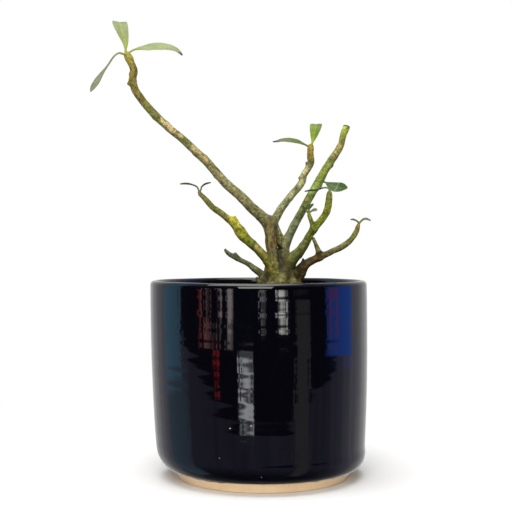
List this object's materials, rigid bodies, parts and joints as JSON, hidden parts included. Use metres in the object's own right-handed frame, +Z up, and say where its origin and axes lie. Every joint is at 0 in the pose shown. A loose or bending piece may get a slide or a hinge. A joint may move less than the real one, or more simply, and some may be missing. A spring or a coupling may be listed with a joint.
{
  "type": "potted desert rose",
  "caption": "Young branching desert rose with a swollen woody base, slender stems and a few fleshy leaves, growing in a dark glazed cylinder pot.",
  "frame": {"origin": "centre of the pot's flat foot, on the surface it stands on", "axes": "+Z up along the pot's height, -Y towards the side the plant is viewed from, +X to the viewer's right"},
  "size_m": [0.1923, 0.1516, 0.3176],
  "materials": {
    "pot_glaze": "gloss",
    "potting_mix": "matte",
    "bark": "matte",
    "leaf": "satin"
  },
  "bodies": {
    "root": {"pot": "pot_glaze", "potting_mix": "potting_mix", "caudex_and_branches": "bark", "leaf_long_up": "leaf", "leaf_long_right": "leaf", "leaf_long_drooping": "leaf", "leaf_middle_left": "leaf", "leaf_middle_up": "leaf", "leaf_tall_right": "leaf", "leaf_front_left": "leaf", "leaf_shoot_up": "leaf", "leaf_shoot_left": "leaf", "leaf_shoot_right": "leaf", "leaf_right_left": "leaf", "leaf_right_right": "leaf", "leaf_left_left": "leaf", "leaf_left_right": "leaf"}
  },
  "joints": []
}
